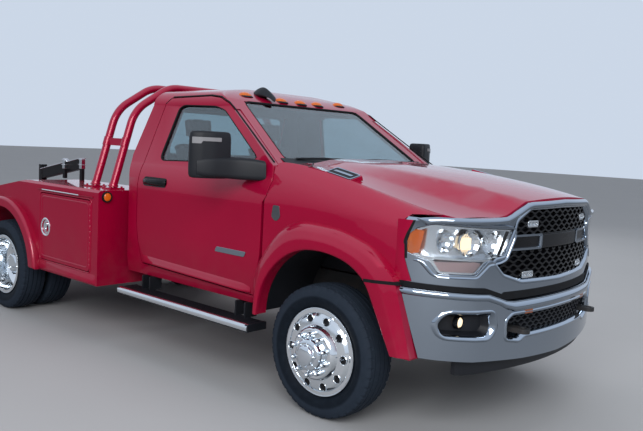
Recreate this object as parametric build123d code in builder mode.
from build123d import *

import math
import os

# Wheel-lift tow truck: a two-door cab and chassis, a tool-box body each side of a tow bay,
# a twin-tube light hoop behind the cab and a folding wheel lift at the tail.
#
# Stations are measured forward of the front axle and heights up from the ground, in millimetres.
# +X points forward, +Y to the truck's left and +Z up. Right-hand pieces lie at -Y, and the
# left-hand ones are their mirror images.

# Driving dimensions of the chassis
WHEELBASE = 3670.0
FRONT_REACH = 1057.0
REAR_REACH = -5588.0
FRONT_AXLE_X = -(FRONT_REACH + REAR_REACH) / 2
REAR_AXLE = -WHEELBASE

# Wheels and tyres, 19.5 inch rims
TYRE_RADIUS = 405.0
TYRE_WIDTH = 230.0
RIM_FLANGE_RADIUS = 266.0
BEAD_RADIUS = 250.0
BARREL_BORE = 238.0
RIM_HALF_WIDTH = 98.0
FRONT_WHEEL_Y = 910.0
REAR_OUTER_Y = 1106.0
DUAL_SPACING = 266.0
REAR_INNER_Y = REAR_OUTER_Y - DUAL_SPACING
DUAL_JOINT_Y = (REAR_OUTER_Y + REAR_INNER_Y) / 2
HAND_HOLES = 10
KINGPIN_Y = 745.0

# Frame rails
RAIL_OUTER_Y = 430.0
RAIL_BOTTOM = 590.0
RAIL_TOP = 780.0
RAIL_FRONT = 760.0
RAIL_REAR = -5240.0

# Cab
CAB_FRONT = -560.0
CAB_REAR = -2080.0
CAB_FLOOR = 800.0
CAB_WALL = 45.0
DOOR_THICKNESS = 55.0
PANEL_GAP = 6.0
HALF_WIDTH = 1003.0

# Tow body
BODY_FRONT = -2160.0
BODY_REAR = -5250.0
BODY_SIDE_Y = 1180.0
BODY_INNER_Y = 600.0
BODY_FLOOR = 450.0
BODY_TOP = 1195.0
ARCH_RADIUS = 535.0
FLARE_RADIUS = 620.0
FLARE_Y = 1245.0

os.makedirs("parts", exist_ok=True)


def side_plane(y=0.0):
    """Plane whose local axes are station and height, extruding towards -Y."""
    return Plane(origin=(FRONT_AXLE_X, y, 0), x_dir=(1, 0, 0), z_dir=(0, -1, 0))


def plan_plane(height):
    """Plane whose local axes are station and Y, extruding upwards."""
    return Plane(origin=(FRONT_AXLE_X, 0, height), x_dir=(1, 0, 0), z_dir=(0, 0, 1))


def cross_plane(station):
    """Plane whose local axes are Y and height, extruding forwards."""
    return Plane(origin=(FRONT_AXLE_X + station, 0, 0), x_dir=(0, 1, 0), z_dir=(1, 0, 0))


def wheel_plane(station, y):
    """Plane through a right-hand wheel's axis: local axes are outboard and up."""
    return Plane(origin=(FRONT_AXLE_X + station, -y, TYRE_RADIUS), x_dir=(0, -1, 0), z_dir=(-1, 0, 0))


def place(station, y, height):
    """A point of the truck as a location."""
    return (FRONT_AXLE_X + station, y, height)


def save(name, piece):
    """Label a finished piece and write it."""
    piece.part.label = name
    export_step(piece.part, f"parts/{name}.step")


def save_pair(stem, right):
    """Write a right-hand piece and its mirror image."""
    save(f"{stem}_right", right)
    with BuildPart() as left:
        add(right.part)
        mirror(about=Plane.XZ, mode=Mode.REPLACE)
    save(f"{stem}_left", left)


def side_prism(outline, y_from, y_to):
    """Solid of a closed side-view outline, between two distances from the centre on the right."""
    with BuildPart() as prism:
        with BuildSketch(side_plane(-y_from)):
            with BuildLine():
                Polyline(*outline, close=True)
            make_face()
        extrude(amount=y_to - y_from)
    return prism.part


def front_prism(outline, station_from, station_to):
    """Solid of a closed front-view outline (y, height), between two stations."""
    with BuildPart() as prism:
        with BuildSketch(cross_plane(station_from)):
            with BuildLine():
                Polyline(*outline, close=True)
            make_face()
        extrude(amount=station_to - station_from)
    return prism.part


# Chassis

CROSS_MEMBERS = (690.0, -900.0, -1950.0, -2950.0)
RAIL_THICKNESS = 8.0
RAIL_FLANGE = 70.0
HOOK_STATION = 1020.0
HOOK_Y = 459.0
HOOK_HEIGHT = 665.0
HOOK_PLATE = 26.0
HOOK_EYE = 20.0

# Wheel lift
BOOM_PIVOT = (-4480.0, 690.0)
BOOM_HEIGHT = 640.0
LIFT_BASE = (-4430.0, 400.0)
LIFT_EYE = (-4980.0, 505.0)
LIFT_PIN = 16.0
CRADLE_Y = 150.0
CRADLE_PLATE = 24.0
CRADLE_BORE = 21.0
CROSSBAR_STATION = -5480.0
ARM_PIVOT_Y = 780.0


def build_frame_rails():
    """Two channel rails with cross-members, the front tow hooks and the wheel lift's cradle."""
    web_outer, web_inner = RAIL_OUTER_Y, RAIL_OUTER_Y - RAIL_THICKNESS
    lip = RAIL_OUTER_Y - RAIL_FLANGE
    with BuildPart() as rails:
        with BuildSketch(cross_plane(RAIL_REAR)):
            for side in (-1, 1):
                with BuildLine():
                    Polyline(
                        (side * web_outer, RAIL_BOTTOM), (side * web_outer, RAIL_TOP),
                        (side * lip, RAIL_TOP), (side * lip, RAIL_TOP - RAIL_THICKNESS),
                        (side * web_inner, RAIL_TOP - RAIL_THICKNESS),
                        (side * web_inner, RAIL_BOTTOM + RAIL_THICKNESS),
                        (side * lip, RAIL_BOTTOM + RAIL_THICKNESS), (side * lip, RAIL_BOTTOM),
                        close=True)
                make_face()
        extrude(amount=RAIL_FRONT - RAIL_REAR)
        member_height = RAIL_TOP - RAIL_BOTTOM - 60
        for station in CROSS_MEMBERS:
            with Locations(place(station, 0, (RAIL_TOP + RAIL_BOTTOM) / 2)):
                Box(60, 2 * web_inner + 2, member_height)
        for side in (-1, 1):
            with Locations(place((HOOK_STATION + RAIL_FRONT - 60) / 2, side * HOOK_Y, HOOK_HEIGHT)):
                Box(HOOK_STATION - RAIL_FRONT + 60, 2 * (HOOK_Y - web_inner), HOOK_PLATE)
            with Locations(place(HOOK_STATION, side * HOOK_Y, HOOK_HEIGHT)):
                Cylinder(HOOK_Y - web_inner, HOOK_PLATE)
            with BuildSketch(side_plane(side * CRADLE_Y + CRADLE_PLATE / 2)):
                with BuildLine():
                    Polyline((-4580, 770), (-4340, 770), (-4340, 360), (-4480, 360), (-4560, 600), close=True)
                make_face()
                with Locations(BOOM_PIVOT, LIFT_BASE):
                    Circle(CRADLE_BORE, mode=Mode.SUBTRACT)
            extrude(amount=CRADLE_PLATE)
        with Locations(place(-4350, 0, 705)):
            Box(40, 2 * web_inner + 2, 130)
        for side in (-1, 1):
            with Locations(place(HOOK_STATION, side * HOOK_Y, HOOK_HEIGHT)):
                Cylinder(HOOK_EYE, 2 * HOOK_PLATE, mode=Mode.SUBTRACT)
    save("frame_rails", rails)


def build_engine():
    with BuildPart() as engine:
        with Locations(place(60, 0, 950)):
            Box(760, 560, 560)
    save("engine_block", engine)


AXLE_TUBE_RADIUS = 58.0
SPRING_SEAT = 470.0
SPRING_Y = 395.0
BOSS_RADIUS = 40.0
BOSS_HALF_HEIGHT = 60.0
KINGPIN_RADIUS = 17.0
PIN_CLEARANCE = 1.0


def build_front_axle():
    with BuildPart() as axle:
        with Locations(place(0, 0, TYRE_RADIUS)):
            Box(90, 2 * (KINGPIN_Y - 10), 90)
        for side in (-1, 1):
            with Locations(place(0, side * KINGPIN_Y, TYRE_RADIUS)):
                Cylinder(BOSS_RADIUS, 2 * BOSS_HALF_HEIGHT)
            with Locations(place(0, side * SPRING_Y, SPRING_SEAT - 10)):
                Box(150, 80, 20)
        for side in (-1, 1):
            with Locations(place(0, side * KINGPIN_Y, TYRE_RADIUS)):
                Cylinder(KINGPIN_RADIUS + PIN_CLEARANCE, 4 * BOSS_HALF_HEIGHT, mode=Mode.SUBTRACT)
    save("front_axle", axle)


def build_rear_axle():
    with BuildPart() as axle:
        with Locations(place(REAR_AXLE, 0, TYRE_RADIUS)):
            Cylinder(AXLE_TUBE_RADIUS, 2 * 720, rotation=(90, 0, 0))
            Cylinder(50, 2 * (DUAL_JOINT_Y + 40), rotation=(90, 0, 0))
        with Locations(place(REAR_AXLE, 60, TYRE_RADIUS)):
            Cylinder(165, 220, rotation=(90, 0, 0))
        with Locations(place(REAR_AXLE + 200, 60, TYRE_RADIUS)):
            Cylinder(70, 140, rotation=(0, 90, 0))
        for side in (-1, 1):
            with Locations(place(REAR_AXLE, side * SPRING_Y, SPRING_SEAT - 10)):
                Box(170, 90, 20)
    save("rear_axle", axle)


# Leaf springs: station of the axle, half the span between the eyes
SPRINGS = [(0.0, 480.0), (REAR_AXLE, 620.0)]


def build_springs():
    eye_height, tip = 560.0, 12.0
    with BuildPart() as springs:
        for (axle_station, half_span), side in [(spring, side) for spring in SPRINGS for side in (-1, 1)]:
            with BuildSketch(side_plane(side * SPRING_Y + 32)):
                left, right = axle_station - half_span, axle_station + half_span
                with BuildLine():
                    ThreePointArc((left, eye_height + tip), (axle_station, SPRING_SEAT + 45),
                                  (right, eye_height + tip))
                    Line((right, eye_height + tip), (right, eye_height))
                    ThreePointArc((right, eye_height), (axle_station, SPRING_SEAT), (left, eye_height))
                    Line((left, eye_height), (left, eye_height + tip))
                make_face()
                for end in (left, right):
                    with Locations((end, eye_height)):
                        Rectangle(50, 2 * (RAIL_BOTTOM - eye_height))
            extrude(amount=64)
    save("leaf_springs", springs)


def build_prop_shaft():
    start, end = (-560.0, 588.0), (REAR_AXLE + 285, 425.0)
    length = math.dist(start, end)
    slope = math.degrees(math.atan2(start[1] - end[1], start[0] - end[0]))
    middle = ((start[0] + end[0]) / 2, (start[1] + end[1]) / 2)
    with BuildPart() as shaft:
        with Locations(place(middle[0], 60, middle[1])):
            Cylinder(45, length, rotation=(0, 90 - slope, 0))
        with Locations(place(-505, 60, 660)):
            Box(370, 300, 260)
    save("prop_shaft", shaft)


def build_fuel_tank():
    with BuildPart() as tank:
        with Locations(place(-2420, 232, 545)):
            Box(800, 234, 330)
        fillet(tank.edges().filter_by(Axis.X), radius=50)
    save("fuel_tank", tank)


# Wheels: profiles are (outboard, radius) about the wheel's own centre

def revolve_profile(outline, station, y):
    with BuildPart() as solid:
        with BuildSketch(wheel_plane(station, y)):
            with BuildLine():
                Polyline(*outline, close=True)
            make_face()
        revolve(axis=Axis(place(station, -y, TYRE_RADIUS), (0, -1, 0)))
    return solid.part


def tyre_solid(station, y):
    half = TYRE_WIDTH / 2
    bead, shoulder = RIM_HALF_WIDTH - 14, half - 20
    with BuildPart() as tyre:
        with BuildSketch(wheel_plane(station, y)):
            with BuildLine():
                Line((-bead, BEAD_RADIUS), (bead, BEAD_RADIUS))
                Line((bead, BEAD_RADIUS), (bead, RIM_FLANGE_RADIUS + 4))
                ThreePointArc((bead, RIM_FLANGE_RADIUS + 4), (half, 330), (shoulder, TYRE_RADIUS - 9))
                ThreePointArc((shoulder, TYRE_RADIUS - 9), (0, TYRE_RADIUS), (-shoulder, TYRE_RADIUS - 9))
                ThreePointArc((-shoulder, TYRE_RADIUS - 9), (-half, 330), (-bead, RIM_FLANGE_RADIUS + 4))
                Line((-bead, RIM_FLANGE_RADIUS + 4), (-bead, BEAD_RADIUS))
            make_face()
        revolve(axis=Axis(place(station, -y, TYRE_RADIUS), (0, -1, 0)))
    return tyre.part


def barrel_outline():
    """Rim barrel with its two flanges."""
    lip, seat = RIM_HALF_WIDTH, RIM_HALF_WIDTH - 14
    return [(-lip, BARREL_BORE), (lip, BARREL_BORE), (lip, RIM_FLANGE_RADIUS), (seat, RIM_FLANGE_RADIUS),
            (seat, BEAD_RADIUS), (-seat, BEAD_RADIUS), (-seat, RIM_FLANGE_RADIUS), (-lip, RIM_FLANGE_RADIUS)]


FRONT_HOLE_PITCH = 206.0
REAR_HOLE_PITCH = 190.0
HAND_HOLE_RADIUS = 24.0
HUB_RADIUS = 78.0
SPINDLE_RADIUS = 32.0
REAR_SPINDLE_RADIUS = 50.0


def cut_hand_holes(station, y, pitch, disc):
    """Round hand holes, spaced evenly about the axle."""
    for index in range(HAND_HOLES):
        angle = 2 * math.pi * index / HAND_HOLES
        centre = place(station + pitch * math.cos(angle), -y, TYRE_RADIUS + pitch * math.sin(angle))
        with Locations(centre):
            Cylinder(HAND_HOLE_RADIUS, disc, rotation=(90, 0, 0), mode=Mode.SUBTRACT)


def build_front_wheels():
    with BuildPart() as tyre:
        add(tyre_solid(0, FRONT_WHEEL_Y))
    save_pair("tyre_front", tyre)
    # Disc: domed out of the barrel to a raised bolting face, with a stepped cap over the hub
    disc = [(-80, SPINDLE_RADIUS + 1), (-80, 175), (-52, 175), (-52, HUB_RADIUS), (140, HUB_RADIUS),
            (140, 138), (108, 160), (104, 190), (78, BARREL_BORE), (92, BARREL_BORE), (112, 218),
            (118, 192), (122, 168), (154, 152), (160, 144), (160, 98), (196, 92), (206, 82),
            (206, 62), (224, 58), (230, 48), (230, 0), (100, 0), (100, SPINDLE_RADIUS + 1)]
    with BuildPart() as rim:
        add(revolve_profile(barrel_outline(), 0, FRONT_WHEEL_Y))
        add(revolve_profile(disc, 0, FRONT_WHEEL_Y))
        cut_hand_holes(0, FRONT_WHEEL_Y + 102, FRONT_HOLE_PITCH, 64)
    save_pair("rim_front", rim)


def build_rear_wheels():
    with BuildPart() as tyres:
        add(tyre_solid(REAR_AXLE, REAR_OUTER_Y))
        add(tyre_solid(REAR_AXLE, REAR_INNER_Y))
    save_pair("tyres_rear", tyres)
    # Dished discs bolted face to face on the hub, measured from the joint between the two rims
    reach = DUAL_SPACING / 2
    bore = REAR_SPINDLE_RADIUS + 1
    dish = [(0, bore), (12, bore), (12, 150), (30, 180), (70, 205), (95, BARREL_BORE),
            (81, BARREL_BORE), (58, 212), (20, 190), (0, 165)]
    inner_dish = [(-across, radius) for across, radius in dish]
    hub = [(-120, bore), (-120, 105), (70, 105), (84, 92), (150, 86), (162, 70), (162, 0), (60, 0), (60, bore)]
    with BuildPart() as rims:
        for y in (REAR_OUTER_Y, REAR_INNER_Y):
            add(revolve_profile(barrel_outline(), REAR_AXLE, y))
        for outline in (dish, inner_dish, hub):
            add(revolve_profile(outline, REAR_AXLE, REAR_OUTER_Y - reach))
        cut_hand_holes(REAR_AXLE, DUAL_JOINT_Y, REAR_HOLE_PITCH, 150)
    save_pair("rims_rear", rims)


KNUCKLE_WEB_Y = 792.0
KNUCKLE_EAR = 22.0
STEER_ARM_REACH = 170.0


def build_knuckles():
    ear_centre = BOSS_HALF_HEIGHT + 5 + KNUCKLE_EAR / 2
    height = 2 * (ear_centre + KNUCKLE_EAR / 2)
    with BuildPart() as knuckle:
        with Locations(place(0, -KINGPIN_Y, TYRE_RADIUS)):
            Cylinder(KINGPIN_RADIUS, height)
        for level in (-1, 1):
            with Locations(place(0, -(KINGPIN_Y + 30), TYRE_RADIUS + level * ear_centre)):
                Box(76, 100, KNUCKLE_EAR)
        with Locations(place(0, -(KNUCKLE_WEB_Y + 13), TYRE_RADIUS)):
            Box(110, 26, height)
        with Locations(place(0, -(KNUCKLE_WEB_Y + 20 + 92), TYRE_RADIUS)):
            Cylinder(SPINDLE_RADIUS, 185, rotation=(90, 0, 0))
        with Locations(place(-STEER_ARM_REACH / 2 - 20, -KINGPIN_Y, TYRE_RADIUS - ear_centre)):
            Box(STEER_ARM_REACH, 46, KNUCKLE_EAR)
        with Locations(place(-STEER_ARM_REACH, -KINGPIN_Y, TYRE_RADIUS - ear_centre)):
            Cylinder(12, 50, align=(Align.CENTER, Align.CENTER, Align.MAX))
    save_pair("knuckle", knuckle)


def build_tie_rod():
    height = TYRE_RADIUS - BOSS_HALF_HEIGHT - 5 - KNUCKLE_EAR / 2 - 34
    with BuildPart() as rod:
        with Locations(place(-STEER_ARM_REACH, 0, height)):
            Cylinder(18, 2 * (KINGPIN_Y - 24), rotation=(90, 0, 0))
        for side in (-1, 1):
            with Locations(place(-STEER_ARM_REACH, side * KINGPIN_Y, height)):
                Cylinder(27, 30)
        for side in (-1, 1):
            with Locations(place(-STEER_ARM_REACH, side * KINGPIN_Y, height)):
                Cylinder(14, 60, mode=Mode.SUBTRACT)
    save("tie_rod", rod)


# Cab: one cross-section along the cab, trimmed by its side profile and its plan

ROCKER_HEIGHT = 575.0
WINDSCREEN_BASE = (-560.0, 1505.0)
WINDSCREEN_HEAD = (-1180.0, 1935.0)


def cab_section(inset):
    """The cab's cross-section along its whole length, drawn in by a wall's thickness."""
    side, crown = HALF_WIDTH - inset, 2040 - inset
    with BuildPart() as tube:
        with BuildSketch(cross_plane(CAB_REAR)):
            with BuildLine():
                Line((0, ROCKER_HEIGHT), (side - 55, ROCKER_HEIGHT))
                ThreePointArc((side - 55, ROCKER_HEIGHT), (side - 12, 760), (side, 1000))
                Line((side, 1000), (side, 1200))
                ThreePointArc((side, 1200), (side - 14, 1330), (side - 53, 1430))
                Line((side - 53, 1430), (side - 198, 1870))
                ThreePointArc((side - 198, 1870), (side - 228, crown - 90), (side - 300, crown - 58))
                ThreePointArc((side - 300, crown - 58), (side - 620, crown - 16), (0, crown))
                Line((0, crown), (0, ROCKER_HEIGHT))
            make_face()
            mirror(about=Plane.YZ)
        extrude(amount=CAB_FRONT + 60 - CAB_REAR)
    return tube.part


def cab_profile(inset):
    """The cab's side view as a prism: windscreen, roof and back wall."""
    run = WINDSCREEN_HEAD[0] - WINDSCREEN_BASE[0]
    rise = WINDSCREEN_HEAD[1] - WINDSCREEN_BASE[1]
    length = math.hypot(run, rise)
    inward = (-inset * rise / length, inset * run / length)
    base = (WINDSCREEN_BASE[0] + inward[0], WINDSCREEN_BASE[1] + inward[1])
    head = (WINDSCREEN_HEAD[0] + inward[0], WINDSCREEN_HEAD[1] + inward[1])
    front, rear = CAB_FRONT + 60 - inset, CAB_REAR + inset
    outline = [(front, 500), (front, WINDSCREEN_BASE[1] - 35 - inset), base, head,
               (-1420, 2025 - inset), (-1600, 2045 - inset), (-1850, 2035 - inset),
               (-1960 + inset, 1985 - inset), (-1995 + inset, 1920 - inset), (rear, 1480), (rear, 500)]
    return side_prism(outline, -1200, 1200)


def cab_plan(inset):
    """The cab seen from above as a prism, with rounded rear corners."""
    front, rear, side = CAB_FRONT + 100, CAB_REAR + inset, HALF_WIDTH + 2 - inset
    corner = max(90 - inset, 20)
    bulge = corner * (1 - math.sqrt(0.5))
    with BuildPart() as prism:
        with BuildSketch(plan_plane(450)):
            with BuildLine():
                Polyline((rear + corner, side), (front, side), (front, -side), (rear + corner, -side))
                ThreePointArc((rear + corner, -side), (rear + bulge, -side + bulge), (rear, -side + corner))
                Line((rear, -side + corner), (rear, side - corner))
                ThreePointArc((rear, side - corner), (rear + bulge, side - bulge), (rear + corner, side))
            make_face()
        extrude(amount=1700)
    return prism.part


def cab_form(inset):
    """The whole outer form of the cab, or the same form drawn in by a wall's thickness."""
    with BuildPart() as form:
        add(cab_section(inset))
        add(cab_profile(inset), mode=Mode.INTERSECT)
        add(cab_plan(inset), mode=Mode.INTERSECT)
    return form.part


# Door outline (station, height), clockwise from the lower front corner
DOOR_OUTLINE = [(-606, 632), (-549, 914), (-548, 1250), (-520, 1290), (-497, 1400), (-536, 1500),
                (-1126, 1888), (-1230, 1928), (-1345, 1940), (-1790, 1925), (-1850, 1880), (-1908, 1400),
                (-1908, 1000), (-1862, 668)]
# Side window outline, inside the door's frame
WINDOW_OUTLINE = [(-700, 1530), (-1150, 1838), (-1260, 1866), (-1620, 1872), (-1672, 1850), (-1722, 1486),
                  (-1690, 1460), (-760, 1492)]


def grown(outline, amount):
    """The outline moved outwards by an amount, for a running gap round a panel."""
    with BuildSketch() as face:
        with BuildLine():
            Polyline(*outline, close=True)
        make_face()
        offset(amount=amount, kind=Kind.INTERSECTION)
    return face.sketch


def outline_prism(sketch, y_from, y_to):
    """Extrude a side-view face across the right side of the truck."""
    with BuildPart() as prism:
        with BuildSketch(side_plane(-y_from)):
            add(sketch)
        extrude(amount=y_to - y_from)
    return prism.part


def screen_prism(low, high, base_half, head_half, depth):
    """Window opening through a sloping wall between two (station, height) lines."""
    run, rise = high[0] - low[0], high[1] - low[1]
    length = math.hypot(run, rise)
    normal = (rise / length, 0, -run / length)
    plane = Plane(origin=place(low[0], 0, low[1]), x_dir=(0, 1, 0), z_dir=normal)
    with BuildPart() as prism:
        with BuildSketch(plane.offset(-depth)):
            with BuildLine():
                Polyline((-base_half, 0), (base_half, 0), (head_half, length), (-head_half, length), close=True)
            make_face()
        extrude(amount=2 * depth)
    return prism.part


WINDSCREEN_LOW = (-585.0, 1528.0)
WINDSCREEN_HIGH = (-1150.0, 1920.0)
WINDSCREEN_HALVES = (760.0, 640.0)
REAR_GLASS_LOW = 1480.0
REAR_GLASS_HIGH = 1850.0
REAR_GLASS_HALF = 620.0
GLASS = 6.0


def build_cab():
    outer, hollow = cab_form(0), cab_form(CAB_WALL)
    door_back = cab_section(DOOR_THICKNESS + PANEL_GAP)
    with BuildPart() as pocket:
        add(outline_prism(grown(DOOR_OUTLINE, PANEL_GAP), 690, 1200))
        add(door_back, mode=Mode.SUBTRACT)
    with BuildPart() as cabin:
        add(hollow)
        with Locations(place(-1300, 0, CAB_FLOOR + CAB_WALL)):
            Box(2000, 2200, 1400, align=(Align.CENTER, Align.CENTER, Align.MIN), mode=Mode.INTERSECT)
    with BuildPart() as shell:
        add(outer)
        add(cabin.part, mode=Mode.SUBTRACT)
        with Locations(place(-1300, 0, CAB_FLOOR)):
            Box(1800, 1400, 600, align=(Align.CENTER, Align.CENTER, Align.MAX), mode=Mode.SUBTRACT)
        add(pocket.part, mode=Mode.SUBTRACT)
        add(pocket.part.mirror(Plane.XZ), mode=Mode.SUBTRACT)
        for side in (-1, 1):
            with Locations(place(-490, side * 995, 950)):
                Box(116, 210, 1180, mode=Mode.SUBTRACT)
        add(screen_prism(WINDSCREEN_LOW, WINDSCREEN_HIGH, *WINDSCREEN_HALVES, 120), mode=Mode.SUBTRACT)
        with Locations(place(-2040, 0, (REAR_GLASS_LOW + REAR_GLASS_HIGH) / 2)):
            Box(220, 2 * REAR_GLASS_HALF, REAR_GLASS_HIGH - REAR_GLASS_LOW, mode=Mode.SUBTRACT)
    save("cab_shell", shell)
    with BuildPart() as windscreen:
        add(screen_prism(WINDSCREEN_LOW, WINDSCREEN_HIGH, *WINDSCREEN_HALVES, 120))
        add(cab_form(8), mode=Mode.INTERSECT)
        add(cab_form(8 + GLASS), mode=Mode.SUBTRACT)
    with BuildPart() as rear_glass:
        with Locations(place(-2040, 0, (REAR_GLASS_LOW + REAR_GLASS_HIGH) / 2)):
            Box(220, 2 * REAR_GLASS_HALF, REAR_GLASS_HIGH - REAR_GLASS_LOW)
        add(cab_form(12), mode=Mode.INTERSECT)
        add(cab_form(12 + GLASS), mode=Mode.SUBTRACT)
        add(windscreen.part)
    save("cab_glass", rear_glass)


def build_doors():
    skin_back = cab_section(DOOR_THICKNESS)
    with BuildPart() as door:
        add(cab_form(0))
        add(skin_back, mode=Mode.SUBTRACT)
        add(side_prism(DOOR_OUTLINE, 700, 1200), mode=Mode.INTERSECT)
        add(side_prism(WINDOW_OUTLINE, 600, 1200), mode=Mode.SUBTRACT)
    save_pair("door", door)
    with BuildPart() as glass:
        add(cab_form(14))
        add(cab_form(14 + GLASS), mode=Mode.SUBTRACT)
        add(side_prism(WINDOW_OUTLINE, 600, 1200), mode=Mode.INTERSECT)
    save_pair("door_glass", glass)


HANDLE_STATION = -1745.0
HANDLE_HEIGHT = 1298.0
MIRROR_LOW = 1385.0
MIRROR_HIGH = 1685.0


def build_door_fittings():
    """Pull handle and door mirror of each door."""
    with BuildPart() as fittings:
        with Locations(place(HANDLE_STATION, -(HALF_WIDTH + 22), HANDLE_HEIGHT)):
            Box(250, 22, 46)
        for end in (-1, 1):
            with Locations(place(HANDLE_STATION + end * 95, -(HALF_WIDTH + 4), HANDLE_HEIGHT)):
                Box(40, 30, 40)
        fillet(fittings.edges().filter_by(Axis.X).group_by(Axis.Y)[0], radius=8)
        with BuildSketch(plan_plane(MIRROR_LOW)):
            with BuildLine():
                Polyline((-800, -1085), (-905, -1095), (-905, -1316), (-800, -1336), (-755, -1310),
                         (-740, -1105), close=True)
            make_face()
        extrude(amount=MIRROR_HIGH - MIRROR_LOW)
        with Locations(place(-790, -1060, MIRROR_LOW + 45)):
            Box(70, 220, 90)
        with Locations(place(-665, -970, MIRROR_LOW + 45)):
            Box(250, 60, 90)
        add(cab_form(0), mode=Mode.SUBTRACT)
    save_pair("door_fittings", fittings)


# Front clip: the hood and both fenders are cut from one lofted form.
# Columns: station, centre height, dome edge (y, height), valley (y, height), hood seam (y, height),
# shoulder (y, height), crease (y, height)
CLIP_SECTIONS = [
    (-505, 1546, 480, 1538, 665, 1506, 893, 1512, 968, 1395, 1003, 1240),
    (25, 1520, 470, 1506, 645, 1460, 885, 1446, 962, 1370, 1005, 1240),
    (640, 1458, 452, 1432, 595, 1345, 864, 1306, 930, 1272, 985, 1195),
    (1010, 1392, 395, 1366, 540, 1296, 780, 1262, 850, 1222, 900, 1150)]
CLIP_BOTTOM = 480.0
HOOD_PANEL = 30.0
FENDER_PANEL = 26.0
HOOD_REAR = -445.0
SEAM_GAP = 4.0
# Plan (station, y) of the hood's rear edge, from its straight run out to the seam along the fender
HOOD_CORNER = [(-445, -640), (-375, -720), (-305, -810), (-261, -882)]
CORNER_GAP = 6.0
COWL_REAR = -494.0


def clip_form(inset):
    """Right half of the front clip, or the same form drawn in by a panel's thickness."""
    with BuildPart() as form:
        for (station, top, dome_y, dome_z, valley_y, valley_z, seam_y, seam_z,
             shoulder_y, shoulder_z, crease_y, crease_z) in CLIP_SECTIONS:
            bottom = CLIP_BOTTOM - inset
            end = station - 20 if station == CLIP_SECTIONS[0][0] else station
            centre = (0, top - inset)
            dome, valley = (-dome_y, dome_z - inset), (-valley_y, valley_z - inset)
            seam = (-(seam_y - inset / 2), seam_z - inset)
            shoulder = (-(shoulder_y - inset * 0.8), shoulder_z - inset * 0.6)
            crease = (-(crease_y - inset), crease_z)
            crown = (-dome_y / 2, (top + dome_z) / 2 + 6 - inset)
            hollow = ((valley[0] + seam[0]) / 2, (valley[1] + seam[1]) / 2 - 6)
            with BuildSketch(cross_plane(end)):
                with BuildLine():
                    Line((0, bottom), (crease[0], bottom))
                    Line((crease[0], bottom), crease)
                    ThreePointArc(crease, shoulder, seam)
                    ThreePointArc(seam, hollow, valley)
                    Line(valley, dome)
                    ThreePointArc(dome, crown, centre)
                    Line(centre, (0, bottom))
                make_face()
        loft()
    return form.part


# Plan of the nose: a shallow arc across the front and a tighter one round each corner
NOSE_CENTRE = 1000.0
NOSE_CORNER = (870.0, 760.0)
NOSE_TURN = (715.0, 925.0)
NOSE_SIDE = (500.0, 1000.0)
NOSE_BACK = -600.0


def nose_form(proud, low=380.0, high=1500.0):
    """Prism bounded by the plan of the nose, moved outwards by an amount."""
    with BuildPart() as form:
        with BuildSketch(plan_plane(low)):
            with BuildLine():
                ThreePointArc((NOSE_CORNER[0], -NOSE_CORNER[1]), (NOSE_CENTRE, 0), NOSE_CORNER)
                for side in (-1, 1):
                    ThreePointArc((NOSE_CORNER[0], side * NOSE_CORNER[1]), (NOSE_TURN[0], side * NOSE_TURN[1]),
                                  (NOSE_SIDE[0], side * NOSE_SIDE[1]))
                    Line((NOSE_SIDE[0], side * NOSE_SIDE[1]), (NOSE_BACK, side * NOSE_SIDE[1]))
                Line((NOSE_BACK, -NOSE_SIDE[1]), (NOSE_BACK, NOSE_SIDE[1]))
            make_face()
            if proud:
                offset(amount=proud, kind=Kind.INTERSECTION)
        extrude(amount=high - low)
    return form.part


def plan_prism(outline, low, high):
    """Solid of a closed plan outline (station, y) between two heights."""
    with BuildPart() as prism:
        with BuildSketch(plan_plane(low)):
            with BuildLine():
                Polyline(*outline, close=True)
            make_face()
        extrude(amount=high - low)
    return prism.part


def seam_line(shift):
    """Plan of the seam between hood and fender on the right, moved outwards by an amount."""
    return [(section[0], -(section[6] + shift)) for section in CLIP_SECTIONS]


def build_hood():
    edge = seam_line(-SEAM_GAP / 2)
    outline = [(HOOD_REAR, 0), *HOOD_CORNER, *edge[1:], (1100, edge[-1][1]), (1100, 0)]
    with BuildPart() as half:
        add(clip_form(0))
        add(clip_form(HOOD_PANEL), mode=Mode.SUBTRACT)
        add(plan_prism(outline, 1215, 1700), mode=Mode.INTERSECT)
        add(nose_form(-14, high=1700), mode=Mode.INTERSECT)
        add(front_prism(both_sides(SURROUND_HALF), 500, 1200), mode=Mode.SUBTRACT)
    with BuildPart() as hood:
        add(half.part)
        mirror(about=Plane.XZ)
    save("hood", hood)


ARCH_REAR = (-492.0, 546.0)
ARCH_TOP = (-2.0, 1022.0)
ARCH_FRONT = (363.0, 893.0)
ARCH_FOOT = (586.0, 470.0)
FLARE_OUTER_Y = 1048.0


def arch_prism(y_from, y_to, grown=0):
    """Front wheel opening through the right side, or the same outline grown by an amount."""
    with BuildPart() as prism:
        with BuildSketch(side_plane(-y_from)):
            with BuildLine():
                Line((ARCH_REAR[0], 400), ARCH_REAR)
                ThreePointArc(ARCH_REAR, (-330, 905), ARCH_TOP)
                ThreePointArc(ARCH_TOP, (210, 990), ARCH_FRONT)
                Line(ARCH_FRONT, ARCH_FOOT)
                Line(ARCH_FOOT, (ARCH_FOOT[0], 400))
                Line((ARCH_FOOT[0], 400), (ARCH_REAR[0], 400))
            make_face()
            if grown:
                offset(amount=grown, kind=Kind.INTERSECTION)
        extrude(amount=y_to - y_from)
    return prism.part


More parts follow.
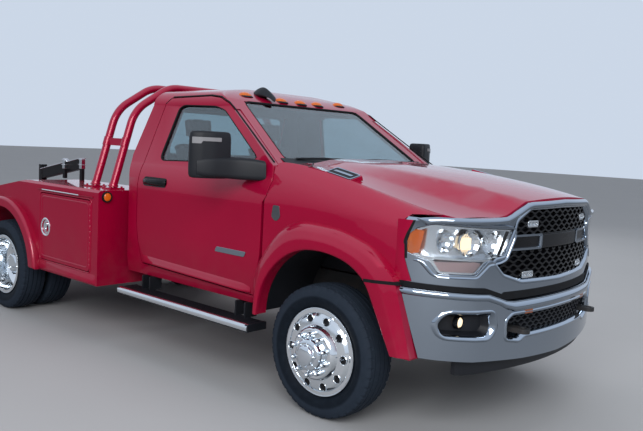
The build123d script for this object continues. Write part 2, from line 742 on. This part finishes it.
def fender_form():
    """The right fender with its flare."""
    side_view = [(-596, 546), (-596, 634), (-541, 914), (-541, 1248), (-513, 1290), (-490, 1400),
                 (-524, 1490), (-524, 1600), (720, 1600), (720, 1296), (556, 1288), (530, 1258),
                 (530, 908), (556, 906), (672, 531), (672, 520)]
    corner = [(station - CORNER_GAP, y - CORNER_GAP) for station, y in HOOD_CORNER]
    seam = seam_line(SEAM_GAP / 2)
    plan = [(-700, -1200), seam[0], (COWL_REAR, seam[0][1]), (COWL_REAR, corner[0][1]), *corner, *seam[1:],
            (1010, -1200)]
    flare = [(-538, 500), (-536, 800), (-463, 944), (-323, 1101), (-174, 1149), (118, 1135), (377, 1061),
             (528, 957), (560, 906), (672, 546), (672, 500)]
    with BuildPart() as fender:
        add(clip_form(0))
        add(clip_form(FENDER_PANEL), mode=Mode.SUBTRACT)
        add(plan_prism(plan, 400, 1700), mode=Mode.INTERSECT)
        add(side_prism(flare, 975, FLARE_OUTER_Y))
        add(side_prism(side_view, 500, 1200), mode=Mode.INTERSECT)
        add(arch_prism(500, 1200), mode=Mode.SUBTRACT)
    return fender.part


def build_fenders():
    fender = fender_form()
    with BuildPart() as fenders:
        add(fender)
        add(fender.mirror(Plane.XZ))
    save("fenders", fenders)


# Inner liners of the front wheel arches, each a shell that ends on the fender's inner face
LINER_THICKNESS = 6.0
LINER_INNER_Y = 560.0
LINER_WALL_BOTTOM = 822.0
LINER_FOOT = 560.0


def build_wheel_liners():
    with BuildPart() as doorway:
        add(arch_prism(LINER_INNER_Y - 10, 1000))
        add(side_prism([(-600, 300), (-600, LINER_WALL_BOTTOM), (700, LINER_WALL_BOTTOM), (700, 300)], 500, 1000),
            mode=Mode.INTERSECT)
    with BuildPart() as liner:
        add(arch_prism(LINER_INNER_Y, 1000, LINER_THICKNESS))
        add(arch_prism(LINER_INNER_Y + LINER_THICKNESS, 1000), mode=Mode.SUBTRACT)
        add(doorway.part, mode=Mode.SUBTRACT)
        add(clip_form(FENDER_PANEL), mode=Mode.INTERSECT)
        add(side_prism([(-600, LINER_FOOT), (-600, 1200), (700, 1200), (700, LINER_FOOT)], 500, 1000),
            mode=Mode.INTERSECT)
        add(fender_form(), mode=Mode.SUBTRACT)
    with BuildPart() as liners:
        add(liner.part)
        add(liner.part.mirror(Plane.XZ))
    save("wheel_liners", liners)


# Front-view outlines are (y, height) on the right side, widened to both sides where needed
HEADLAMP_OUTLINE = [(-495, 1224), (-940, 1248), (-976, 1222), (-991, 1180), (-991, 1090), (-968, 1066),
                    (-944, 1050), (-918, 985), (-765, 982), (-690, 1052), (-565, 1068)]
MESH_HALF = [(0, 1342), (-369, 1334), (-480, 1268), (-490, 1225), (-560, 1065), (-640, 1052), (-566, 980),
             (-420, 935), (0, 925)]
SURROUND_HALF = [(0, 1386), (-400, 1372), (-560, 1296), (-960, 1276), (-1030, 1225), (-1030, 915), (-700, 895),
                 (-560, 850), (0, 850)]
GRILLE_BAR = [(-500, 1196), (500, 1196), (524, 1106), (-524, 1106)]
BUMPER_HALF = [(0, 832), (-500, 828), (-560, 835), (-690, 878), (-1080, 905), (-1080, 531), (-800, 515),
               (-400, 492), (0, 480)]
LOWER_OPENING = [(0, 752), (-505, 748), (-545, 720), (-545, 625), (-440, 608), (-395, 632), (0, 632)]
FOG_OPENING = [(-660, 775), (-900, 778), (-935, 720), (-915, 655), (-680, 640), (-640, 690)]


def both_sides(half):
    """Close a right-hand outline that starts and ends on the centre line with its mirror image."""
    return half + [(-y, height) for y, height in reversed(half)][1:-1]


def nose_band(proud, depth):
    """Curved plate that follows the plan of the nose."""
    with BuildPart() as band:
        add(nose_form(proud))
        add(nose_form(proud - depth), mode=Mode.SUBTRACT)
    return band.part


def build_nose():
    with BuildPart() as surround:
        add(nose_band(4, 40))
        add(front_prism(both_sides(SURROUND_HALF), 548, 1200), mode=Mode.INTERSECT)
        add(front_prism(both_sides(MESH_HALF), 500, 1200), mode=Mode.SUBTRACT)
        lamp = front_prism(HEADLAMP_OUTLINE, 500, 1200)
        add(lamp, mode=Mode.SUBTRACT)
        add(lamp.mirror(Plane.XZ), mode=Mode.SUBTRACT)
    save("grille_surround", surround)
    with BuildPart() as lens:
        add(nose_band(-2, 120))
        add(front_prism(HEADLAMP_OUTLINE, 542, 1200), mode=Mode.INTERSECT)
    with BuildPart() as fog_lamp:
        add(nose_band(-4, 30))
        add(front_prism(FOG_OPENING, 560, 1200), mode=Mode.INTERSECT)
    with BuildPart() as lamps:
        for lamp in (lens, fog_lamp):
            add(lamp.part)
            add(lamp.part.mirror(Plane.XZ))
    save("front_lamps", lamps)
    with BuildPart() as bar:
        add(nose_band(-4, 30))
        add(front_prism(GRILLE_BAR, 500, 1200), mode=Mode.INTERSECT)
    with BuildPart() as mesh:
        add(nose_band(-30, 25))
        add(front_prism(both_sides(MESH_HALF), 500, 1200), mode=Mode.INTERSECT)
        add(bar.part)
    save("grille_mesh", mesh)


def build_bumper():
    with BuildPart() as bumper:
        add(nose_band(30, 34))
        add(front_prism(both_sides(BUMPER_HALF), 560, 1200), mode=Mode.INTERSECT)
        add(side_prism([(563, 1000), (563, 905), (680, 525), (680, 400), (1200, 400), (1200, 1000)],
                       -1200, 1200), mode=Mode.INTERSECT)
        add(front_prism(both_sides(LOWER_OPENING), 500, 1200), mode=Mode.SUBTRACT)
        fog = front_prism(FOG_OPENING, 500, 1200)
        add(fog, mode=Mode.SUBTRACT)
        add(fog.mirror(Plane.XZ), mode=Mode.SUBTRACT)
        for side in (-1, 1):
            with Locations(place(850, side * 388, 690)):
                Box(180, 52, 120)
    save("front_bumper", bumper)
    with BuildPart() as dam:
        add(nose_band(-10, 20))
        add(front_prism([(-820, 530), (820, 530), (820, 430), (-820, 430)], 540, 1200), mode=Mode.INTERSECT)
    save("air_dam", dam)


STEP_OUTER_Y = 1105.0


def build_running_boards():
    with BuildPart() as board:
        with Locations(place(-1255, -(STEP_OUTER_Y - 85), 447)):
            Box(1460, 170, 46)
        for station in (-730, -1790):
            for shift in (-45, 45):
                with Locations(place(station + shift, -(STEP_OUTER_Y - 175), 522)):
                    Box(14, 110, 104)
    with BuildPart() as boards:
        add(board.part)
        add(board.part.mirror(Plane.XZ))
    save("running_boards", boards)


# Marker lamps over the windscreen: station, y
ROOF_LAMPS = [(-1180, 0), (-1192, -205), (-1192, 205), (-1273, -517), (-1273, 517)]
BODY_LAMP_Y = 1110.0


def build_marker_lamps():
    """Five lamps over the windscreen and one on the front of each tow body."""
    with BuildPart() as lamps:
        for station, y in ROOF_LAMPS:
            with Locations(place(station, y, 1988)):
                Box(90, 110, 44)
        add(cab_form(0), mode=Mode.SUBTRACT)
        for side in (-1, 1):
            with Locations(place(BODY_FRONT + 10, side * BODY_LAMP_Y, 1130)):
                Cylinder(38, 20, rotation=(0, 90, 0))
    save("marker_lamps", lamps)


def build_interior():
    with BuildPart() as dashboard:
        with BuildSketch(side_plane(860)):
            with BuildLine():
                Polyline((-650, 900), (-650, 1440), (-760, 1450), (-900, 1380), (-880, 1250), (-760, 1180),
                         (-740, 900), close=True)
            make_face()
        extrude(amount=1720)
    with BuildPart() as seats:
        for side in (-1, 1):
            with BuildSketch(side_plane(side * 400 + 330)):
                with BuildLine():
                    Polyline((-1250, 846), (-1210, 1120), (-1700, 1090), (-1880, 1640), (-1990, 1620),
                             (-1880, 1050), (-1860, 846), close=True)
                make_face()
            extrude(amount=640)
    save("seats", seats)
    with BuildPart() as wheel:
        axis = Plane(origin=place(-985, 400, 1290), z_dir=(-math.cos(0.45), 0, math.sin(0.45)))
        with BuildSketch(Plane(origin=axis.origin, x_dir=axis.z_dir, z_dir=(0, 1, 0))):
            with Locations((0, 185)):
                Circle(15)
        revolve(axis=Axis(axis.origin, axis.z_dir))
        with BuildSketch(axis.offset(-12)):
            Circle(60)
            Rectangle(30, 350)
        extrude(amount=20)
        with BuildSketch(axis.offset(-110)):
            Circle(28)
        extrude(amount=110)
        add(dashboard.part)
    save("dashboard", wheel)


# Tow body

BODY_WALL = 35.0
BODY_DROP_START = -3350.0
BODY_DROP_END = 860.0
BODY_INNER_END = 930.0
TOOL_DOOR = (-3050.0, -2270.0, 550.0, 1108.0)
TOOL_DOOR_THICKNESS = 30.0


def body_profile(inset, end_height):
    """Side view of the tow body: flat top, then falling to the tail."""
    return [(BODY_FRONT - inset, BODY_FLOOR + inset), (BODY_FRONT - inset, BODY_TOP - inset),
            (BODY_DROP_START, BODY_TOP - inset), (BODY_REAR + inset, end_height - inset),
            (BODY_REAR + inset, BODY_FLOOR + 60 + inset), (-4500, BODY_FLOOR + 20 + inset),
            (-4300, BODY_FLOOR + inset)]


def rear_arch(radius, y_from, y_to):
    """Solid disc about the rear wheels, down past the sill."""
    with BuildPart() as disc:
        with BuildSketch(side_plane(-y_from)):
            with Locations((REAR_AXLE, TYRE_RADIUS)):
                Circle(radius)
            with Locations((REAR_AXLE, TYRE_RADIUS - 150)):
                Rectangle(2 * radius, 300)
        extrude(amount=y_to - y_from)
    return disc.part


def build_bodies():
    left, right, low, high = TOOL_DOOR
    with BuildPart() as flare:
        add(rear_arch(FLARE_RADIUS, BODY_SIDE_Y - 30, FLARE_Y))
        with Locations(place(REAR_AXLE, -(BODY_SIDE_Y + 20), BODY_FLOOR + 1)):
            Box(3 * FLARE_RADIUS, 400, 1500, align=(Align.CENTER, Align.CENTER, Align.MIN),
                mode=Mode.INTERSECT)
        fillet(flare.edges().group_by(Axis.Y)[0], radius=25)
    with BuildPart() as body:
        add(side_prism(body_profile(0, BODY_DROP_END), BODY_INNER_Y, BODY_SIDE_Y))
        chamfer(body.edges().filter_by(Axis.X).group_by(Axis.Z)[-1].sort_by(Axis.Y)[0], length=18)
        add(flare.part)
        with Locations(place((left + right) / 2, -(BODY_INNER_Y + BODY_SIDE_Y) / 2, (low + high) / 2)):
            Box(right - left + 60, BODY_SIDE_Y - BODY_INNER_Y - 2 * BODY_WALL, high - low + 60,
                mode=Mode.SUBTRACT)
        with Locations(place((left + right) / 2, -BODY_SIDE_Y, (low + high) / 2)):
            Box(right - left + 2 * PANEL_GAP, 3 * BODY_WALL, high - low + 2 * PANEL_GAP, mode=Mode.SUBTRACT)
        add(rear_arch(ARCH_RADIUS, BODY_INNER_Y + 60, FLARE_Y + 10), mode=Mode.SUBTRACT)
        with Locations(place(REAR_AXLE, -(BODY_INNER_Y + 30), 430)):
            Box(300, 100, 240, mode=Mode.SUBTRACT)
    with BuildPart() as bodies:
        add(body.part)
        add(body.part.mirror(Plane.XZ))
    save("tow_bodies", bodies)
    with BuildPart() as door:
        with Locations(place((left + right) / 2, -(BODY_SIDE_Y - TOOL_DOOR_THICKNESS / 2 + 3), (low + high) / 2)):
            Box(right - left, TOOL_DOOR_THICKNESS, high - low)
        fillet(door.edges().filter_by(Axis.Y), radius=28)
        with BuildSketch(side_plane(-(BODY_SIDE_Y - 12))):
            with Locations((left + 90, 825)):
                Circle(58)
                Rectangle(34, 76, mode=Mode.SUBTRACT)
        extrude(amount=20, mode=Mode.SUBTRACT)
    save_pair("tool_door", door)


def build_deck():
    with BuildPart() as deck:
        with BuildSketch(side_plane(BODY_INNER_Y)):
            with BuildLine():
                Polyline((BODY_FRONT, 830), (BODY_FRONT, 1000), (BODY_FRONT - 30, 1000),
                         (BODY_FRONT - 30, 862), (-3400, 862), (-4500, 852), (-4500, 822), (-3400, 832),
                         close=True)
            make_face()
        extrude(amount=2 * BODY_INNER_Y)
        for station in (-2350, -3000, -4200):
            with Locations(place(station, 0, 806)):
                Box(80, 2 * RAIL_OUTER_Y, 52)
    save("deck", deck)
    with BuildPart() as tail:
        with BuildSketch(cross_plane(BODY_REAR - 60)):
            with Locations((0, 700)):
                Rectangle(2 * BODY_SIDE_Y, 320)
                Rectangle(420, 400, mode=Mode.SUBTRACT)
        extrude(amount=60)
    save("tailboard", tail)
    with BuildPart() as lamps:
        for side in (-1, 1):
            for y, height in ((1080, 760), (960, 760), (840, 760)):
                with Locations(place(BODY_REAR - 66, side * y, height)):
                    Cylinder(50, 12, rotation=(0, 90, 0))
    save("tail_lamps", lamps)


HOOP_FEET = (-2330.0, -2590.0)
HOOP_RADIUS = 32.0


def build_hoop():
    with BuildPart() as hoop:
        for foot in HOOP_FEET:
            plane = Plane(origin=place(foot, 0, BODY_TOP), x_dir=(0, 1, 0), z_dir=(1, 0, 0))
            with BuildLine(plane):
                path = FilletPolyline((-950, 0), (-760, 640), (-420, 850), (420, 850), (760, 640), (950, 0),
                                      radius=320)
            with BuildSketch(Plane(origin=path @ 0, z_dir=path % 0)):
                Circle(HOOP_RADIUS)
            sweep()
        for side in (-1, 1):
            with Locations(place(sum(HOOP_FEET) / 2, side * 840, BODY_TOP + 375)):
                Box(HOOP_FEET[0] - HOOP_FEET[1], 22, 60)
        with Locations(place(-2460, 0, BODY_TOP + 10)):
            Box(3000, 2400, 3000, align=(Align.CENTER, Align.CENTER, Align.MIN), mode=Mode.INTERSECT)
        for foot in HOOP_FEET:
            for side in (-1, 1):
                with Locations(place(foot, side * 945, BODY_TOP + 6)):
                    Box(130, 130, 12)
    save("light_hoop", hoop)


def build_body_trim():
    with BuildPart() as rack:
        for side in (-1, 1):
            run, rise = -736.0, -140.0
            slope = math.degrees(math.atan2(-rise, -run))
            with Locations(place(-3668, side * 650, 1275)):
                Box(math.hypot(run, rise), 50, 95, rotation=(0, -slope, 0))
            for station, top in ((-3539, 1376), (-3239, 1392)):
                with Locations(place(station, side * 690, (top + BODY_TOP) / 2)):
                    Box(36, 30, top - BODY_TOP)
            with Locations(place(-4036, side * 650, 1200)):
                Box(50, 60, 200)
    save("strap_rack", rack)
    with BuildPart() as flaps:
        for side in (-1, 1):
            with Locations(place(-4300, side * 930, 300)):
                Box(12, 420, 300)
    save("mud_flaps", flaps)


# Wheel lift: boom on a hinge below the deck, a sliding extension, a yawing crossbar and two L-arms

BOOM_TUBE = 180.0
BOOM_WALL = 16.0
EXTENSION_TUBE = 138.0
CLEVIS_HEIGHT = 75.0
CROSSBAR_DEPTH = 76.0
ARM_GAP = 10.0
ARM_DEPTH = 60.0
ARM_INNER_Y = 84.0
BARREL_RADIUS = 38.0
BARREL_BORE_RADIUS = 24.0
BARREL_LENGTH = 400.0
ROD_RADIUS = 18.0
ROD_LENGTH = 300.0


def build_boom():
    tube_front, tube_rear = -4540.0, -5200.0
    with BuildPart() as boom:
        with Locations(place((tube_front + tube_rear) / 2, 0, BOOM_HEIGHT)):
            Box(tube_front - tube_rear, BOOM_TUBE, BOOM_TUBE)
        with Locations(place(-4520, 0, 660)):
            Box(130, 120, 110)
        with Locations(place(BOOM_PIVOT[0], 0, BOOM_PIVOT[1])):
            Cylinder(52, 220, rotation=(90, 0, 0))
            Cylinder(CRADLE_BORE - 1, 350, rotation=(90, 0, 0))
        with Locations(place(tube_rear, 0, BOOM_HEIGHT)):
            Box(2 * (tube_front - tube_rear - 50), BOOM_TUBE - 2 * BOOM_WALL, BOOM_TUBE - 2 * BOOM_WALL,
                mode=Mode.SUBTRACT)
        for side in (-1, 1):
            with Locations(place(LIFT_EYE[0], side * 48, 520)):
                Box(70, 16, 84)
        with Locations(place(LIFT_EYE[0], 0, LIFT_EYE[1])):
            Cylinder(LIFT_PIN, 150, rotation=(90, 0, 0))
    save("lift_boom", boom)
    with BuildPart() as extension:
        tube_end = CROSSBAR_STATION + CROSSBAR_DEPTH / 2 + 27
        with Locations(place((-4600 + tube_end) / 2, 0, BOOM_HEIGHT)):
            Box(-4600 - tube_end, EXTENSION_TUBE, EXTENSION_TUBE)
        for level in (-1, 1):
            with Locations(place(CROSSBAR_STATION + 25, 0, BOOM_HEIGHT + level * CLEVIS_HEIGHT)):
                Box(150, EXTENSION_TUBE, 14)
        with Locations(place(CROSSBAR_STATION, 0, BOOM_HEIGHT)):
            Cylinder(24, 2 * CLEVIS_HEIGHT + 14)
    save("lift_extension", extension)


def build_crossbar():
    with BuildPart() as crossbar:
        with Locations(place(CROSSBAR_STATION, 0, BOOM_HEIGHT)):
            Cylinder(50, 120)
            Box(CROSSBAR_DEPTH, 2 * ARM_PIVOT_Y, 110)
        for side in (-1, 1):
            with Locations(place(CROSSBAR_STATION, side * ARM_PIVOT_Y, BOOM_HEIGHT)):
                Cylinder(24, 190)
        with Locations(place(CROSSBAR_STATION, 0, BOOM_HEIGHT)):
            Cylinder(26, 200, mode=Mode.SUBTRACT)
    save("crossbar", crossbar)
    front = CROSSBAR_STATION - CROSSBAR_DEPTH / 2 - ARM_GAP
    with BuildPart() as arm:
        for level in (-1, 1):
            with Locations(place(CROSSBAR_STATION, -ARM_PIVOT_Y, BOOM_HEIGHT + level * CLEVIS_HEIGHT)):
                Cylinder(42, 26)
            with Locations(place(CROSSBAR_STATION - 45, -ARM_PIVOT_Y, BOOM_HEIGHT + level * CLEVIS_HEIGHT)):
                Box(90, 60, 26)
        with Locations(place(front - ARM_DEPTH / 2, -(ARM_PIVOT_Y + 30 + ARM_INNER_Y) / 2, BOOM_HEIGHT)):
            Box(ARM_DEPTH, ARM_PIVOT_Y + 30 - ARM_INNER_Y, 176)
        for level in (-1, 1):
            with Locations(place(CROSSBAR_STATION, -ARM_PIVOT_Y, BOOM_HEIGHT + level * CLEVIS_HEIGHT)):
                Cylinder(25, 60, mode=Mode.SUBTRACT)
    save_pair("wheel_arm", arm)


def build_lift_cylinder():
    """Hydraulic cylinder from the cradle to the boom's underside, with its rod run out a little."""
    run, rise = LIFT_BASE[0] - LIFT_EYE[0], LIFT_EYE[1] - LIFT_BASE[1]
    length = math.hypot(run, rise)
    axis = Plane(origin=place(LIFT_BASE[0], 0, LIFT_BASE[1]), x_dir=(0, 1, 0), z_dir=(-run, 0, rise))
    with BuildPart() as barrel:
        with BuildSketch(axis):
            Circle(BARREL_RADIUS)
        extrude(amount=BARREL_LENGTH)
        with Locations(place(LIFT_BASE[0], 0, LIFT_BASE[1])):
            Cylinder(BARREL_RADIUS, 120, rotation=(90, 0, 0))
            Cylinder(CRADLE_BORE - 1, 350, rotation=(90, 0, 0))
        with BuildSketch(axis.offset(150)):
            Circle(BARREL_BORE_RADIUS)
        extrude(amount=BARREL_LENGTH, mode=Mode.SUBTRACT)
    save("lift_cylinder", barrel)
    with BuildPart() as rod:
        with BuildSketch(axis.offset(length - ROD_LENGTH)):
            Circle(ROD_RADIUS)
        extrude(amount=ROD_LENGTH - 10)
        with Locations(place(LIFT_EYE[0], 0, LIFT_EYE[1])):
            Cylinder(34, 60, rotation=(90, 0, 0))
            Cylinder(LIFT_PIN + 8, 80, rotation=(90, 0, 0), mode=Mode.SUBTRACT)
    save("lift_rod", rod)


build_frame_rails()
build_engine()
build_front_axle()
build_rear_axle()
build_springs()
build_prop_shaft()
build_fuel_tank()
build_front_wheels()
build_rear_wheels()
build_knuckles()
build_tie_rod()
build_cab()
build_doors()
build_door_fittings()
build_hood()
build_fenders()
build_wheel_liners()
build_nose()
build_bumper()
build_running_boards()
build_marker_lamps()
build_interior()
build_bodies()
build_deck()
build_hoop()
build_body_trim()
build_boom()
build_crossbar()
build_lift_cylinder()
